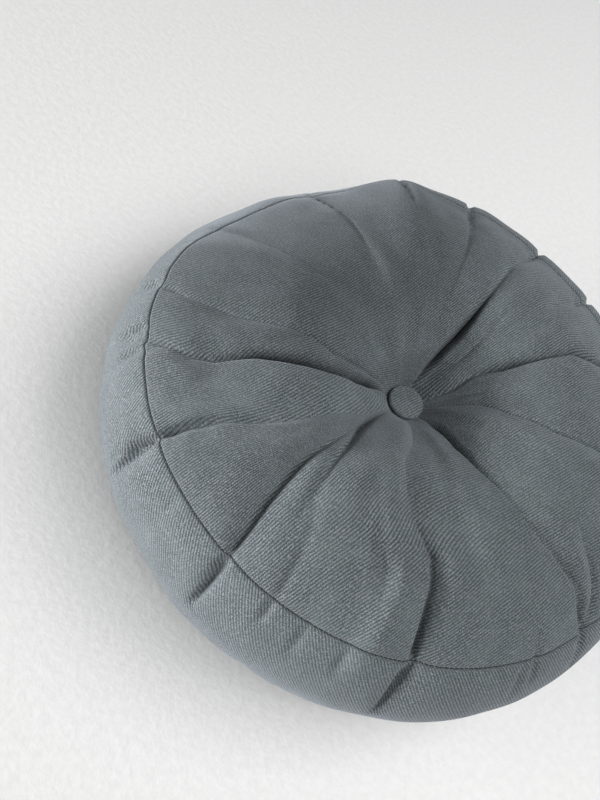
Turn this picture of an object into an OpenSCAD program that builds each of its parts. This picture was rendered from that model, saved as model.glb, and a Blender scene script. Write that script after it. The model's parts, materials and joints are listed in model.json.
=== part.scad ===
// Round boxed floor cushion. Two round panels and a side band of brushed twill are sewn edge to
// edge with their raw edges turned in, stuffed with loose fibre, and closed by hand. One covered
// button on each face is pulled in by a doubled twine that runs through the middle.
// The cushion lies on its lower face: +Z is up, and the origin is under the lower button at floor
// level. Millimetres.

/* [Cushion] */
// Greatest width, across the middle of the side band
cushion_d = 450; // [440:2:470]
// Width across the sewn seams
seam_d = 404; // [396:2:412]
// Height of the side band, from seam to seam
band_h = 107; // [100:1:115]
// Height of the lower seam above the floor
lower_seam_z = 20; // [17:1:23]

/* [Faces] */
// How far each face would bulge past its seam if it had no button
crown = 36; // [32:1:40]
// Depth of the button seats, below or above the nearest seam
tuft_depth = 26; // [20:1:28]
// How far the pull of a button reaches out over the face
tuft_reach = 52; // [40:1:60]

/* [Cloth] */
// Thickness of the twill
cloth_t = 1; // [0.8:0.1:1.2]
// Width of the raw edges turned in at a seam
allowance = 10; // [8:1:12]
// Diameter of the sewing thread where it lies in a seam
thread_d = 0.7; // [0.4:0.1:0.9]
// Length of the hand-sewn part of the lower seam, as an angle round the cushion
closing_angle = 52; // [30:2:70]

/* [Buttons] */
// Diameter of a covered button
button_d = 28.6; // [26:0.2:31]
// Height of a covered button
button_h = 6.5; // [5.5:0.1:8]
// Diameter of the wire of a button's shank loop
wire_d = 1; // [0.8:0.1:1.1]
// Diameter of each strand of the tufting twine
twine_d = 1.2; // [1:0.1:1.3]

/* [Hidden] */
$fn = 72;

TWILL = [0.40, 0.43, 0.46];
THREAD = [0.16, 0.18, 0.20];
FIBRE = [0.92, 0.92, 0.90];
TWINE = [0.86, 0.83, 0.75];
METAL = [0.75, 0.76, 0.78];

seam_r = seam_d / 2;
upper_seam_z = lower_seam_z + band_h;
mid_z = (lower_seam_z + upper_seam_z) / 2;
fill_gap = 0.2;          // between the cloth and what lies against it
seam_gap = 0.4;          // between the two turned-in edges of a seam
face_steps = 40;         // straight pieces in the outline of a face
tuft_power = 1.3;        // how sharply a face falls to its button
crown_power = 4;         // how squarely a face turns down to its seam

// The side band bulges as one arc in section.
bulge = (cushion_d - seam_d) / 2;
band_r = (pow(band_h / 2, 2) + pow(bulge, 2)) / (2 * bulge);
band_c = cushion_d / 2 - band_r;
band_a = asin(band_h / 2 / band_r);
band_end_a = 0.6;        // the last of the band's arc, which its turned-in edge takes up
arc_steps = 32;          // straight pieces in the filling's outline along the band
join_at = 90;            // where the two ends of the band are sewn together
closing_at = 125;        // the middle of the hand-sewn part of the lower seam
join_slit_a = 0.06;      // between the two turned-in ends of the band
join_share = 0.8;        // of the band's height, over which its ends are turned in
join_step = 0.05;        // from the slit to the face of a turned-in end

// A button stands on a flat seat, just clear of it, so that it can turn.
seat_r = button_d / 2 + 0.7;
seat_gap = 0.3;
shank_hole_r = 4.4;
channel_r = 4.8;         // the way that the twine has pulled through the fibre
upper_seat_z = upper_seam_z - tuft_depth;
lower_seat_z = lower_seam_z + tuft_depth;
upper_button_z = upper_seat_z + seat_gap;
lower_button_z = lower_seat_z - seat_gap;

button_r = button_d / 2;
button_cloth_t = 0.7;
shell_t = 0.5;
fit_gap = 0.05;          // between the pressed parts of a button
rim_z = 1.6;             // where a button's dome meets its rim
dome_power = 0.75;       // under 1, a dome is flatter on top than an ellipse
dome_steps = 16;
hem_r = 11.4;            // the cloth is tucked under as far in as this
back_r = 11.9;
back_t = 0.6;

wire_r = wire_d / 2;
twine_r = twine_d / 2;
loop_half = 3;           // from a button's axis to the middle of its loop's legs
loop_drop = 6;           // from a button's underside to the middle of the wire at the loop's foot
loop_top = 2.4;          // height of the wire inside the button
strand_x = 2;            // from the axis to the middle of each strand
bight_gap = 0.3;         // between the twine and the wire that it passes over
bight_z = wire_r + twine_r + bight_gap - strand_x;
upper_bight_z = upper_button_z - loop_drop + bight_z;
lower_bight_z = lower_button_z + loop_drop - bight_z;
knot_wraps = 3;
knot_r = strand_x + 2 * twine_r + fit_gap;
knot_z = lower_bight_z + 4;
knot_pitch = twine_d + fit_gap;
tail_l = 9;

// How far a face stands past its seam, at a distance r from the axis.
function bulge_at(r) =
    r <= seat_r ? -tuft_depth
    : crown * (1 - pow(r / seam_r, crown_power))
      - (crown + tuft_depth) * exp(-pow((r - seat_r) / tuft_reach, tuft_power));

// The outline of a face from the middle out to its seam, as [radius, distance past the seam].
// most is the furthest that it can stand past the seam, as the floor allows.
function face_line(inner_r, most) = concat(
    [[inner_r, -tuft_depth]],
    [for (i = [0:face_steps])
        let (r = seat_r + (seam_r - seat_r) * i / face_steps)
        [r, min(most, bulge_at(r))]]);

function unit(v) = v / norm(v);

// The same line moved inwards, to its right as it runs outwards, by t.
function moved_in(line, t) = [for (i = [0:len(line) - 1])
    let (along = unit(line[min(i + 1, len(line) - 1)] - line[max(i - 1, 0)]))
    line[i] + t * [along[1], -along[0]]];

function reversed(list) = [for (i = [len(list) - 1:-1:0]) list[i]];
function first_of(list, n) = [for (i = [0:n - 1]) list[i]];

// At a seam, the turned-in edges run along seam_in, with the panel's edge on the seam_side.
seam_at = [seam_r, 0];
seam_in = -[cos(band_a), sin(band_a)];
seam_side = [-sin(band_a), cos(band_a)];

// A face panel in section, with its edge turned in.
module panel_section(most) {
    line = face_line(shank_hole_r, most);
    inside = moved_in(line, cloth_t);
    edge_at = seam_at + seam_gap / 2 * seam_side;
    polygon(concat(
        line,
        [edge_at + allowance * seam_in,
         edge_at + allowance * seam_in + cloth_t * seam_side,
         edge_at + cloth_t * (seam_side + seam_in)],
        reversed(first_of(inside, len(inside) - 1))));
}

// What the two turned-in edges of a seam take from the filling.
module seam_slot() {
    wide = cloth_t + seam_gap / 2 + fill_gap;
    deep = allowance + fill_gap;
    polygon([
        seam_at + wide * seam_side,
        seam_at + wide * seam_side + deep * seam_in,
        seam_at - wide * seam_side + deep * seam_in,
        seam_at - wide * seam_side]);
}

module at_upper_seam() translate([0, 0, upper_seam_z]) children();
module at_lower_seam() translate([0, 0, lower_seam_z]) mirror([0, 0, 1]) children();

module top_panel() color(TWILL)
    at_upper_seam() rotate_extrude() panel_section(crown);

// The lower face is flat where it lies on the floor.
module bottom_panel() color(TWILL)
    at_lower_seam() rotate_extrude() panel_section(lower_seam_z);

// The strip of the band's section between depths d0 and d1 below its outer face.
module band_strip(d0, d1, half_angle) {
    intersection() {
        translate([band_c, 0]) difference() {
            circle(band_r - d0);
            circle(band_r - d1);
        }
        translate([band_c, 0]) polygon([
            [0, 0],
            2 * band_r * [cos(half_angle), -sin(half_angle)],
            2 * band_r * [cos(half_angle), sin(half_angle)]]);
    }
}

// One edge of the band, turned in, with its corner at the seam taken off.
module band_edge() translate([0, band_h / 2]) {
    start = seam_at - seam_gap / 2 * seam_side;
    end = start + allowance * seam_in;
    corner = start + cloth_t * (0.4 * seam_in - seam_side);
    polygon([start, corner, end - cloth_t * seam_side, end]);
}

// The strip is a ring with a slit, where its two ends are turned in and sewn together.
module side_band() color(TWILL)
    translate([0, 0, mid_z]) {
        rotate(join_at + join_slit_a / 2) rotate_extrude(angle = 360 - join_slit_a) {
            band_strip(0, cloth_t, band_a - band_end_a);
            band_edge();
            mirror([0, 1]) band_edge();
        }
        for (side = [0, 1])
            rotate(join_at) mirror([0, side, 0]) rotate(join_slit_a / 2) join_edge();
    }

// One end of the band, turned in.
module join_edge() translate([0, cloth_t + join_step, 0]) rotate([90, 0, 0])
    linear_extrude(cloth_t) band_strip(cloth_t / 2, allowance, join_share * band_a);

// What the two turned-in ends of the band take from the filling.
module join_slot() {
    half_wide = cloth_t + join_step + 2 * fill_gap;
    translate([0, half_wide, 0]) rotate([90, 0, 0]) linear_extrude(2 * half_wide)
        band_strip(0, allowance + fill_gap, join_share * band_a + 0.5);
}

module filling() color(FIBRE)
    difference() {
        rotate_extrude() difference() {
            filling_section();
            translate([0, upper_seam_z]) seam_slot();
            translate([0, lower_seam_z]) mirror([0, 1]) seam_slot();
        }
        translate([0, 0, mid_z]) rotate(join_at) join_slot();
    }

module filling_section() {
    deep = cloth_t + fill_gap;
    upper = moved_in(face_line(channel_r, crown), deep);
    lower = moved_in(face_line(channel_r, lower_seam_z), deep);
    last = len(upper) - 1;
    // The arc stops short of the seams, inside the slots for the turned-in edges.
    end_a = band_a - 0.5;
    polygon(concat(
        [for (p = first_of(upper, last)) [p[0], upper_seam_z + p[1]]],
        [for (i = [0:arc_steps])
            let (a = end_a * (1 - 2 * i / arc_steps))
            [band_c + (band_r - deep) * cos(a), mid_z + (band_r - deep) * sin(a)]],
        [for (p = reversed(first_of(lower, last))) [p[0], lower_seam_z - p[1]]]));
}

// Thread lying in the groove of a seam, over part or all of the way round.
module seam_thread(angle) color(THREAD)
    rotate_extrude(angle = angle)
        translate(seam_at - (thread_d / 2 + fit_gap) * seam_in)
            circle(thread_d / 2);

module top_seam_thread() at_upper_seam() seam_thread(360);

// One degree is left at each end between the machine sewing and the hand sewing.
module bottom_seam_thread() at_lower_seam()
    rotate(closing_at + closing_angle / 2 + 1) seam_thread(358 - closing_angle);

module closing_thread() at_lower_seam()
    rotate(closing_at - closing_angle / 2) seam_thread(closing_angle);

module band_join_thread() color(THREAD)
    translate([0, 0, mid_z]) rotate(join_at) translate([band_c, 0, 0]) rotate([90, 0, 0])
        rotate(1 - band_a) rotate_extrude(angle = 2 * band_a - 2)
            translate([band_r + thread_d / 2 + fit_gap, 0]) circle(thread_d / 2);

// The doubled twine, which passes over the foot of each button's loop.
module tufting_twine() color(TWINE) {
    for (x = [-strand_x, strand_x])
        translate([x, 0, lower_bight_z])
            cylinder(r = twine_r, h = upper_bight_z - lower_bight_z);
    translate([0, 0, upper_bight_z]) bight();
    translate([0, 0, lower_bight_z]) mirror([0, 0, 1]) bight();
}

module bight() rotate([90, 0, 0])
    rotate_extrude(angle = 180) translate([strand_x, 0]) circle(twine_r);

// Wraps that bind the two strands, and the cut tail of the twine.
module twine_knot() color(TWINE) {
    for (i = [0:knot_wraps - 1])
        translate([0, 0, knot_z + i * knot_pitch])
            rotate_extrude() translate([knot_r, 0]) circle(twine_r);
    translate([0, knot_r, knot_z + (knot_wraps - 1) * knot_pitch])
        cylinder(r = twine_r, h = tail_l);
}

// A button's dome in section, from its top on the axis out to its rim.
function dome_line(r, top) = [for (i = [0:dome_steps])
    let (a = 90 * i / dome_steps)
    [r * pow(sin(a), dome_power), rim_z + (top - rim_z) * pow(cos(a), dome_power)]];

// A cup in section: a dome, and a rim turned in to radius in_r at height foot.
module cup_section(r, top, t, foot, in_r) {
    edge = 0.8;
    polygon(concat(
        dome_line(r, top),
        [[r - 0.3 * edge, foot + 0.4 * edge], [r - edge, foot], [in_r, foot], [in_r, foot + t],
         [r - t - 0.4 * edge, foot + t]],
        reversed(dome_line(r - t, top - t))));
}

module button_cloth() color(TWILL) rotate_extrude()
    cup_section(button_r, button_h, button_cloth_t, 0, hem_r);

module button_shell() color(METAL) {
    in = button_cloth_t + fit_gap;
    rotate_extrude() cup_section(button_r - in, button_h - in, shell_t, in, back_r - 0.3);
}

module button_back() color(METAL) difference() {
    translate([0, 0, button_cloth_t + shell_t + 2 * fit_gap]) cylinder(r = back_r, h = back_t);
    for (y = [-loop_half, loop_half])
        translate([0, y, 0]) cylinder(r = wire_r + fit_gap, h = button_h);
}

module button_loop() color(METAL) {
    leg_foot = loop_half - loop_drop;
    for (y = [-loop_half, loop_half]) translate([0, y, 0]) {
        translate([0, 0, leg_foot]) cylinder(r = wire_r, h = loop_top - leg_foot);
        translate([0, 0, loop_top]) sphere(wire_r);
    }
    translate([0, -loop_half, loop_top]) rotate([-90, 0, 0])
        cylinder(r = wire_r, h = 2 * loop_half);
    translate([0, 0, leg_foot]) rotate([0, 90, 0]) rotate(-90)
        rotate_extrude(angle = 180) translate([loop_half, 0]) circle(wire_r);
}

module at_upper_button() translate([0, 0, upper_button_z]) children();
module at_lower_button() translate([0, 0, lower_button_z]) mirror([0, 0, 1]) children();

top_panel();
side_band();
bottom_panel();
filling();
top_seam_thread();
bottom_seam_thread();
closing_thread();
band_join_thread();
tufting_twine();
twine_knot();
at_upper_button() button_cloth();  // top_button_cloth
at_upper_button() button_shell();  // top_button_shell
at_upper_button() button_back();  // top_button_back
at_upper_button() button_loop();  // top_button_loop
at_lower_button() button_cloth();  // bottom_button_cloth
at_lower_button() button_shell();  // bottom_button_shell
at_lower_button() button_back();  // bottom_button_back
at_lower_button() button_loop();  // bottom_button_loop
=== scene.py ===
import json
import math

import bmesh
import bpy
import numpy as np
from mathutils import Matrix, Vector


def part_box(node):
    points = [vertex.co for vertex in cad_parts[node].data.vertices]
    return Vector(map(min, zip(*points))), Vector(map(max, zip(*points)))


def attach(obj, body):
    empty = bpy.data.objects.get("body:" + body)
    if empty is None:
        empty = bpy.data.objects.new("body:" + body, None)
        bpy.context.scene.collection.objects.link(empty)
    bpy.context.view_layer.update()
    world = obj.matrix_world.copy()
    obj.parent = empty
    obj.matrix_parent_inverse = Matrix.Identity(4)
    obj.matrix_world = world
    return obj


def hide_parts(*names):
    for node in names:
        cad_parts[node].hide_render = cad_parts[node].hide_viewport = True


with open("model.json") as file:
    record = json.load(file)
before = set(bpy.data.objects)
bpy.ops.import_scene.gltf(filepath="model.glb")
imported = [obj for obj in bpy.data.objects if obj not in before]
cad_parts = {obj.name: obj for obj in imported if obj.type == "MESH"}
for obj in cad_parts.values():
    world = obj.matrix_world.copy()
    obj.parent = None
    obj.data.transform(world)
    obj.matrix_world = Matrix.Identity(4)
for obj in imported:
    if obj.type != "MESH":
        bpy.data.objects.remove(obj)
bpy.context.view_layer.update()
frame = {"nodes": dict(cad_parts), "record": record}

# ---------------------------------------------------------------- sizes, from the frame, in metres

MM = 0.001
BAND_LO, BAND_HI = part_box("side_band")
UPPER_SEAM = BAND_HI.z
LOWER_SEAM = BAND_LO.z
MIDDLE = (UPPER_SEAM + LOWER_SEAM) / 2
BAND_H = UPPER_SEAM - LOWER_SEAM
BAND_R = BAND_HI.x
SEAM_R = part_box("top_panel")[1].x
CAP_LO, CAP_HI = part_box("top_button_cloth")
CAP_R = CAP_HI.x
CAP_H = CAP_HI.z - CAP_LO.z
UPPER_SEAT = CAP_LO.z - 0.3 * MM
LOWER_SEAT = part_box("bottom_button_cloth")[1].z + 0.3 * MM

CLOTH_T = 1.0 * MM
CAP_CLOTH_T = 0.5 * MM                 # a button's cloth is stretched thin
HUB_RADII = (4.4, 7.0, 10.0)           # mm: rows of the cloth under a button, from the hole for its shank
# The rows that take a cloth's edge into a seam: mm to the side of the seam, mm into the cushion.
EDGE_TURN = ((0.62, 0.55), (0.32, 1.9), (0.30, 9.0))
EDGE_FLAT = (-1.5, 0.5, 2.0, 9.0)      # mm past the seam, on the flat pattern: the row before them, and each
FINE = 2          # how many pieces each cell of the cloth's grid is cut into
COLUMNS = 360   # cells round the cover
CELL = 4.6 * MM                        # length of a cell along the cover's outline
RELAX_STEPS = 220
HOOP_SLACK = 1.006                     # how much longer the cloth is than the shape that it is laid in, round
RISE_SLACK = 1.004                     # the cushion and along its outline
BEND_LEN = 3.2 * MM                    # creases shorter than about this don't form by themselves
PUFF = 0.03 * MM                       # how far the filling pushes the cloth out in each step
HOLD = 0.01                            # how much of what has moved springs back in each step
SPEED_KEPT = 0.8                       # how much of its speed the cloth keeps from one step to the next
LENGTH_PASSES = 3
FLOOR_GAP = 0.1 * MM

rng = np.random.default_rng(7)


def unit(v):
    """The same directions with a length of 1."""
    return v / np.maximum(np.linalg.norm(v, axis=-1, keepdims=True), 1e-12)


def run_along(line):
    """How far along a line each of its points is."""
    return np.concatenate([[0], np.cumsum(np.linalg.norm(np.diff(line, axis=0), axis=1))])


def to_axis(points):
    """The level directions from points to the cushion's axis."""
    return unit(points * np.array([-1, -1, 0]))


def round_flat(radii, angles):
    """A round flat pattern: the points of each radius at each angle."""
    return np.stack([radii * np.cos(angles), radii * np.sin(angles), 0 * radii * angles], axis=-1)


# ---------------------------------------------------------------- the cover's outline in section

PIN_R = 13.0 * MM          # the cloth is held under the button inside this radius
CROWN = 43.0 * MM
CROWN_POWER = 2.3
TUFT_REACH = 60.0 * MM
SEAM_PINCH = 2.2 * MM      # how far the cloth stands out on each side of a seam
SEAM_PINCH_REACH = 7.0 * MM
BAND_SLACK = 2.5 * MM      # how far the band stays inside the frame's, which leaves room for its creases
TOP_TUFT = UPPER_SEAM - UPPER_SEAT
LOW_TUFT = LOWER_SEAT - LOWER_SEAM


def face_height(r, tuft):
    """How far a face stands past its seam at radius r."""
    fall = np.exp(-(np.maximum(r - PIN_R, 0) / TUFT_REACH) ** 1.2) * (1 - (r / SEAM_R) ** 6)
    return CROWN * (1 - (r / SEAM_R) ** CROWN_POWER) - (CROWN + tuft) * fall


def resampled(line, cell):
    """The same line with its points evenly spread along it."""
    run = run_along(line)
    even = np.linspace(0, run[-1], max(2, round(run[-1] / cell)) + 1)
    return np.stack([np.interp(even, run, line[:, i]) for i in (0, 1)], axis=1)


def cover_outline():
    """Points (radius, height) from the upper button over both seams to the lower one, and the seams' rows."""
    r = np.linspace(PIN_R, SEAM_R, 800)
    top = np.stack([r, UPPER_SEAM + face_height(r, TOP_TUFT)], axis=1)
    low = np.stack([r, LOWER_SEAM - np.minimum(face_height(r, LOW_TUFT), LOWER_SEAM)], axis=1)
    bulge = BAND_R - SEAM_PINCH - BAND_SLACK - SEAM_R
    arc_r = ((BAND_H / 2) ** 2 + bulge ** 2) / (2 * bulge)
    half = math.asin(BAND_H / 2 / arc_r)
    a = np.linspace(half, -half, 400)
    band = np.stack([SEAM_R + bulge - arc_r + arc_r * np.cos(a), MIDDLE + arc_r * np.sin(a)], axis=1)
    top, band, low = resampled(top, CELL), resampled(band, CELL), resampled(low, CELL)
    line = np.concatenate([top, band[1:-1], low[::-1]])
    top_row, low_row = len(top) - 1, len(top) + len(band) - 2
    row = np.arange(len(line))
    away = 1 - np.exp(-np.minimum(np.abs(row - top_row), np.abs(row - low_row)) * CELL / SEAM_PINCH_REACH)
    away *= np.minimum(np.minimum(row, row[::-1]) / 6, 1)
    line = line + SEAM_PINCH * away[:, None] * outline_normals(line)
    line[:, 1] = np.maximum(line[:, 1], 0)
    return line, top_row, low_row


def outline_normals(line):
    """The directions that point out of the cushion along its outline."""
    along = unit(np.gradient(line, axis=0))
    return np.stack([-along[:, 1], along[:, 0]], axis=1)


OUTLINE, TOP_ROW, LOW_ROW = cover_outline()
ROWS = len(OUTLINE)

# ---------------------------------------------------------------- pleats

# Each fold of a face, from the button out to the seam: points (radius mm, angle in degrees, depth mm of the
# broad hollow, depth mm of the sharp crease in it), then the length in mm and the drift in degrees of what it
# leaves in the band. A negative depth is a ridge.
TOP_FOLDS = [
    ([(17, 34, 2, 1), (35, 33, 3, 1.5), (47, 32, 2.5, 1), (69, 24, 2, 1.5), (104, 20, 2, 2.5),
      (142, 22, 2, 2.5), (202, 22, 3, 3)], 12, 0),
    ([(17, 54, 2, 1), (33, 55, 3, 1.5), (47, 61, 3.5, 2.5), (68, 58, 4, 6), (85, 58, 4, 7), (99, 58, 4, 6),
      (138, 59, 4, 5), (167, 55, 5, 7), (202, 57, 6, 6)], 40, 2),
    ([(17, 110, 3, 2), (22, 105, 4, 4), (36, 99, 5.5, 9), (58, 95, 6.5, 12), (78, 94, 5, 11),
      (93, 94, 4.5, 7), (112, 94, 3.5, 2.5), (150, 94, 2.5, 1), (202, 90, 4, 4)], 20, 0),
    ([(17, 188, 2, 1), (31, 198, 3.5, 2), (50, 208, 4, 2), (68, 213, 3.5, 1.5), (102, 211, 3, 0.8),
      (145, 211, 2.5, 0.5), (179, 209, 2, 0.5), (202, 205, 3, 2.5)], 26, 0),
    ([(17, 200, 3, 3), (30, 212, 6, 12), (52, 221, 8, 17), (78, 223, 8, 18), (101, 223, 6.5, 17),
      (121, 223, 5, 13), (132, 223, 4, 9), (145, 224, 3.5, 5), (160, 225, 3, 3), (175, 224, 2.5, 2),
      (202, 219, 2.5, 3)], 40, -3),
    ([(17, 253, 0, 0), (49, 253, 1, 0.5), (123, 247, 1.5, 1), (150, 243, 2.5, 2.5), (163, 241, 3, 3.5),
      (184, 240, 3.5, 4.5), (202, 240, 5, 6)], 48, -2),
    ([(17, 262, 0.8, 0.3), (51, 259, 2, 0.5), (90, 259, 3, 1), (104, 259, 4, 2.5), (120, 259, 5, 4),
      (137, 260, 5.5, 4.5), (163, 262, 6, 4.5), (186, 264, 6, 4), (202, 265, 6, 5)], 48, 1),
    ([(16, 310, 0.8, 0.3), (40, 300, 2.5, 0.5), (73, 290, 3, 0), (99, 293, 2.5, 0), (119, 297, 2.5, 0),
      (139, 304, 3.5, 2), (155, 305, 5, 3), (176, 304, 6.5, 4.5), (202, 303, 8, 7)], 52, -1),
    ([(17, 353, 3, 2), (28, 346, 4, 5), (51, 337, 5, 5), (72, 335, 4.5, 3), (97, 337, 4, 0.7),
      (120, 338, 3, 0.3), (150, 341, 2, 1), (175, 343, 2, 2), (202, 341, 4, 5)], 35, -1),
]
# Smaller folds and ridges, which the grid's columns don't bend with.
TOP_SMALL = [
    ([(17, 45, 2.5, 2), (38, 44, 2.5, 2), (62, 43, 0, 0)], 0, 0),
    ([(60, 76, 0, 0), (120, 77, 1, 0.5), (175, 75, 3, 2), (202, 74, 4, 4.5)], 22, 0),
    ([(30, 116, 0, 0), (110, 111, 1.5, 0.5), (165, 110, 2.5, 1), (202, 110, 4, 4)], 20, 0),
    ([(40, 78, 0, 0), (60, 80, 2, 1), (90, 83, 2, 1), (130, 84, 0, 0)], 0, 0),
    ([(150, 129, 0, 0), (202, 129, 2, 3)], 10, 0),
    ([(60, 152, 0, 0), (110, 152, 1.2, 0), (202, 152, 2, 2)], 10, 0),
    ([(60, 178, 0, 0), (120, 180, 1.5, 0), (202, 182, 1, 1)], 8, 0),
    ([(172, 224, 0, 0), (176, 228, 0.5, 2.5), (176, 234, 0, 1)], 0, 0),
    ([(185, 221, 0, 0), (202, 222, 1, 3)], 22, 0),
    ([(24, 258, 1, 0.5), (38, 257, 5, 4), (51, 259, 8, 6), (70, 261.5, 8, 5.5), (86, 264, 7.5, 4.5),
      (111, 265.5, 6, 2), (135, 268, 3, 0), (171, 271, 1.5, 0), (195, 272, 0, 0)], 0, 0),
    ([(130, 268, 0, 0), (155, 273, 2, 0), (176, 275, 2, 0), (202, 276, 1.5, 1.5)], 14, 0),
    ([(120, 286, 0, 0), (140, 289, 2, 0), (160, 293, 2, 0), (190, 294, 0, 0)], 0, 0),
    ([(185, 329, 0, 0), (195, 329, 1, 2), (202, 328, 2, 3.5)], 16, 0),
    ([(140, 354, 0, 0), (158, 352, 2, 3), (176, 349, 2, 5), (192, 345, 2, 5), (202, 341, 0, 2)], 0, 0),
    ([(110, 342, 0, 0), (132, 347, -1.5, 0), (161, 346, -3, 0), (184, 344, -2.5, 0), (200, 342, 0, 0)], 0, 0),
    ([(120, 241, 0, 0), (140, 240, -1.5, 0), (165, 238, -2.5, 0), (179, 237.5, -2.5, 0),
      (198, 236, 0, 0)], 0, 0),
    ([(130, 307, 0, 0), (145, 309, -2, 0), (165, 309, -2.5, 0), (185, 307, -2, 0), (200, 304, 0, 0)], 0, 0),
    ([(140, 296, 0, 0), (160, 297, -3, 0), (178, 296, -4, 0), (202, 294, -3, 0)], 20, 0),
    ([(40, 262, 0, 0), (90, 261.5, -2, 0), (120, 262.5, -2, 0), (150, 265, -1, 0), (170, 266, 0, 0)], 0, 0),
]
# Short creases of the band: (angle, how far from the seam they are deepest, length, the two depths).
TOP_BAND_CREASES = [
    (276, 9, 20, 0.5, 1), (283, 13, 34, 0.8, 1.2), (291, 12, 30, 0.8, 1.3), (325, 16, 40, 1, 0.8),
    (216, 12, 34, 2, 4), (221, 11, 26, 1.5, 3.5), (204, 11, 30, 1.5, 3), (240, 24, 60, 3.5, 6),
    (266, 22, 60, 2.5, 3.5), (302, 24, 64, 2.5, 3), (252, 16, 34, 0.8, 0.5), (230, 16, 30, 0.8, 0.6),
    (12, 12, 30, 0.8, 0.8), (150, 12, 30, 0.6, 1), (190, 14, 34, 1, 0.8), (40, 14, 28, 0.6, 1),
]
LOW_FOLDS = [
    ([(20, 8, 3, 2), (70, 12, 6, 6), (120, 12, 4, 4), (202, 12, 4, 4)], 30, 2),
    ([(20, 50, 2, 2), (70, 52, 4, 4), (120, 51, 5, 5), (202, 50, 4, 5)], 45, -2),
    ([(20, 92, 3, 2), (70, 90, 7, 7), (120, 89, 4, 4), (202, 88, 3, 4)], 25, 1),
    ([(20, 128, 2, 1), (70, 126, 4, 4), (120, 127, 4, 3), (202, 128, 4, 4)], 40, 2),
    ([(20, 166, 3, 2), (70, 168, 6, 7), (120, 169, 4, 5), (202, 169, 5, 4)], 45, -1),
    ([(20, 205, 2, 2), (70, 206, 5, 4), (120, 205, 3, 4), (202, 204, 3, 4)], 25, 0),
    ([(20, 240, 3, 2), (70, 238, 7, 6), (120, 236, 4, 3), (202, 235, 3, 4)], 30, 2),
    ([(20, 285, 2, 2), (70, 283, 4, 5), (120, 282, 5, 4), (202, 281, 4, 5)], 45, -2),
    ([(20, 322, 3, 2), (70, 324, 6, 5), (120, 325, 4, 3), (202, 326, 3, 4)], 30, 0),
]
LOW_BAND_CREASES = [
    (30, 10, 24, 1.5, 2), (72, 12, 22, 1, 2), (150, 10, 26, 1.5, 2), (222, 12, 22, 1, 2),
    (262, 10, 26, 1.5, 2), (304, 12, 22, 1, 2), (346, 10, 24, 1.5, 2),
]
# Where a fold steps the upper seam up or down: (angle, mm).
SEAM_JOGS = [(303, 1.6), (219, -1.8), (204, -1.8), (265, 0.6), (341, 1.2), (57, 1.5), (90, -1.5), (128, 1.2)]

SEAM_AT = 202              # mm: the radius at which a fold counts as running into the seam
HOLLOW_WIDTH = 9 * MM      # half the width of a hollow, and how much each metre of depth adds to it
HOLLOW_SPREAD = 2.6
CREASE_WIDTH = 2.8 * MM    # the same for a sharp crease
CREASE_SPREAD = 0.30
CREASE_SHADE_WIDTH = 1.2 * MM      # the same for the painted shade line along the bottom of a deep crease
CREASE_SHADE_SPREAD = 0.17
CREASE_SHADE_FROM = 2 * MM         # a crease's painted shade starts at this sharp depth, and is full this much deeper
CREASE_SHADE_RANGE = 9 * MM
BAND_SHARE = 0.7           # how much of a fold's hollow goes on in the band
SEAM_HOLD = 0.62           # how much of a dip the stitches pull flat, and how far from the seam
SEAM_HOLD_REACH = 6 * MM
WAVES = (3, 5, 8, 13, 21, 34)
WAVE_SIZE = 1.5 * MM
# Painted shade over a sector of the upper face: where it lies, and how dark it is painted.
SHADED_SECTOR_AT = 163           # degrees: the middle of the sector of the upper face that is painted darker, and half its
SHADED_SECTOR_HALF = 64          # width
SHADED_SECTOR_DARKNESS = 0.36
WORN_FROM = 85 * MM        # the worn shape starts at this radius of the face, and ends this far down the band
WORN_DOWN_TO = 75 * MM


def fold_at(points, radius, item):
    """One of a fold's values at the given radii."""
    return np.interp(radius / MM, [p[0] for p in points], [p[item] for p in points])


def turn_between(angle, other):
    """The angle from one direction to another, in radians, from minus to plus half a turn."""
    return (angle - other + math.pi) % (2 * math.pi) - math.pi


def sector(angles, middle, half, power):
    """1 at the middle of a sector, falling to 0 past its edges. A high power makes its middle flat."""
    return np.exp(-(turn_between(angles, math.radians(middle)) / math.radians(half)) ** power)


def column_angles():
    """The angle of each column of the grid in each row. The columns bend with the folds of the faces."""
    base = np.arange(COLUMNS) * 2 * math.pi / COLUMNS
    angles = np.tile(base, (ROWS, 1))
    for folds, rows in ((TOP_FOLDS, range(0, TOP_ROW)), (LOW_FOLDS, range(LOW_ROW + 1, ROWS))):
        at_seam = np.radians([f[0][-1][1] for f in folds])
        for k in rows:
            bend = np.radians([fold_at(f[0], OUTLINE[k, 0], 1) for f in folds]) - at_seam
            bend = turn_between(bend, 0)
            angles[k] += np.interp(base, at_seam, bend, period=2 * math.pi)
    return angles


def crease(away, broad, sharp):
    """How far the cloth dips at a distance from a crease: a broad, round hollow, and a sharp fold in it."""
    wide = HOLLOW_WIDTH + HOLLOW_SPREAD * np.abs(broad)
    narrow = CREASE_WIDTH + CREASE_SPREAD * sharp
    valley = np.clip(1 - np.abs(away) / wide, 0, 1) ** 2
    ridge = np.exp(-(away / (0.55 * wide)) ** 2)
    hollow = np.where(broad >= 0, valley, ridge)
    return broad * hollow + sharp * np.clip(1 - np.abs(away) / narrow, 0, 1) ** 2


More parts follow.
